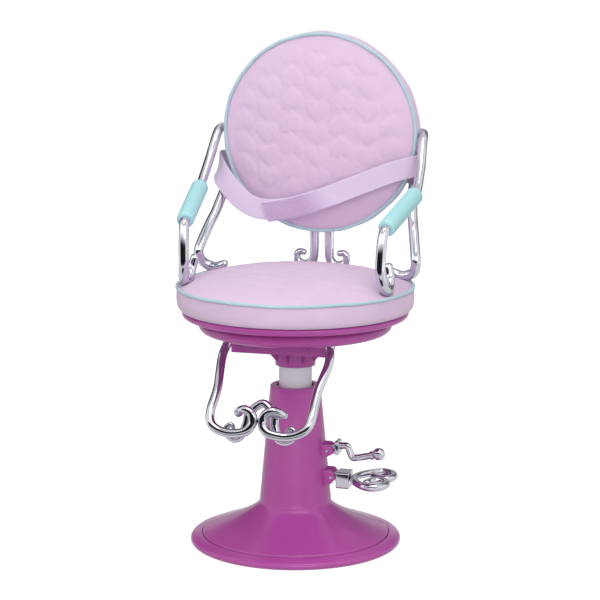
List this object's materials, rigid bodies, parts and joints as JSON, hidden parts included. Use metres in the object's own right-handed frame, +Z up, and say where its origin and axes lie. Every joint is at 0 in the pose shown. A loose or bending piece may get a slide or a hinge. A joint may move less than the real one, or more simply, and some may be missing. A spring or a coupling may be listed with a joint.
{
  "type": "doll-size salon styling chair",
  "caption": "Toy salon styling chair: round padded seat and back, chrome arms, scrolled footrest, belt, lever and pump pedal, turning and rising on a flared pedestal.",
  "frame": {"origin": "middle of the base's underside, on the floor", "axes": "+Z up along the column, the chair faces -Y, the height lever and the pump pedal point along +X"},
  "size_m": [0.193, 0.206, 0.4066],
  "materials": {
    "orchid_plastic": "moulded orchid plastic with a soft gloss",
    "grey_plastic": "pale grey satin plastic",
    "hidden_plastic": "plain moulded plastic, out of sight",
    "hidden_rubber": "soft rubber, out of sight",
    "screw_steel": "plain steel",
    "lilac_cloth": "padded lilac cloth with a low relief",
    "mint_cord": "pale mint piping cord",
    "belt_web": "lilac hook-and-loop tape",
    "mint_grip": "soft satin mint sleeve",
    "plated_tube": "bright mirror plating on a plastic core"
  },
  "bodies": {
    "base": {"pedestal": "orchid_plastic", "base_ring": "orchid_plastic", "base_plate": "orchid_plastic", "base_screws": "screw_steel", "guide_bush": "grey_plastic", "friction_ring": "hidden_rubber", "lever_pin": "screw_steel", "pedal_pin": "screw_steel"},
    "lift_post": {"lift_tube": "grey_plastic", "tube_foot": "hidden_plastic", "swivel_spindle": "hidden_plastic", "swivel_washer": "screw_steel", "swivel_screw": "screw_steel"},
    "seat": {"swivel_bracket": "orchid_plastic", "bracket_screws": "screw_steel", "seat_pan": "orchid_plastic", "pan_screws": "screw_steel", "seat_board": "hidden_plastic", "seat_cushion": "lilac_cloth", "seat_piping": "mint_cord", "back_board": "hidden_plastic", "back_cushion": "lilac_cloth", "back_piping": "mint_cord", "arm_right": "plated_tube", "arm_left": "plated_tube", "grip_right": "mint_grip", "grip_left": "mint_grip", "rear_leg_right": "plated_tube", "rear_leg_left": "plated_tube", "back_post_right": "plated_tube", "back_post_left": "plated_tube", "footrest_right": "plated_tube", "footrest_left": "plated_tube", "footrest_scroll": "plated_tube", "belt_long": "belt_web", "belt_short": "belt_web"},
    "height_lever": {"lever_arm": "plated_tube", "lever_ball": "plated_tube"},
    "pump_pedal": {"pedal_block": "plated_tube", "pedal_heart": "plated_tube"}
  },
  "joints": [
    {"name": "seat_lift", "type": "slide", "parent": "base", "child": "lift_post", "axis": [0, 0, 1], "range_m": [-0.012, 0.0275]},
    {"name": "seat_swivel", "type": "hinge", "parent": "lift_post", "child": "seat", "pos_m": [0, 0, 0.15], "axis": [0, 0, 1], "continuous": true},
    {"name": "lever_pivot", "type": "hinge", "parent": "base", "child": "height_lever", "pos_m": [0.0282, 0, 0.078], "axis": [0, -1, 0], "range_deg": [-12, 10]},
    {"name": "pedal_pivot", "type": "hinge", "parent": "base", "child": "pump_pedal", "pos_m": [0.0314, 0, 0.0563], "axis": [0, -1, 0], "range_deg": [-18, 4]}
  ]
}
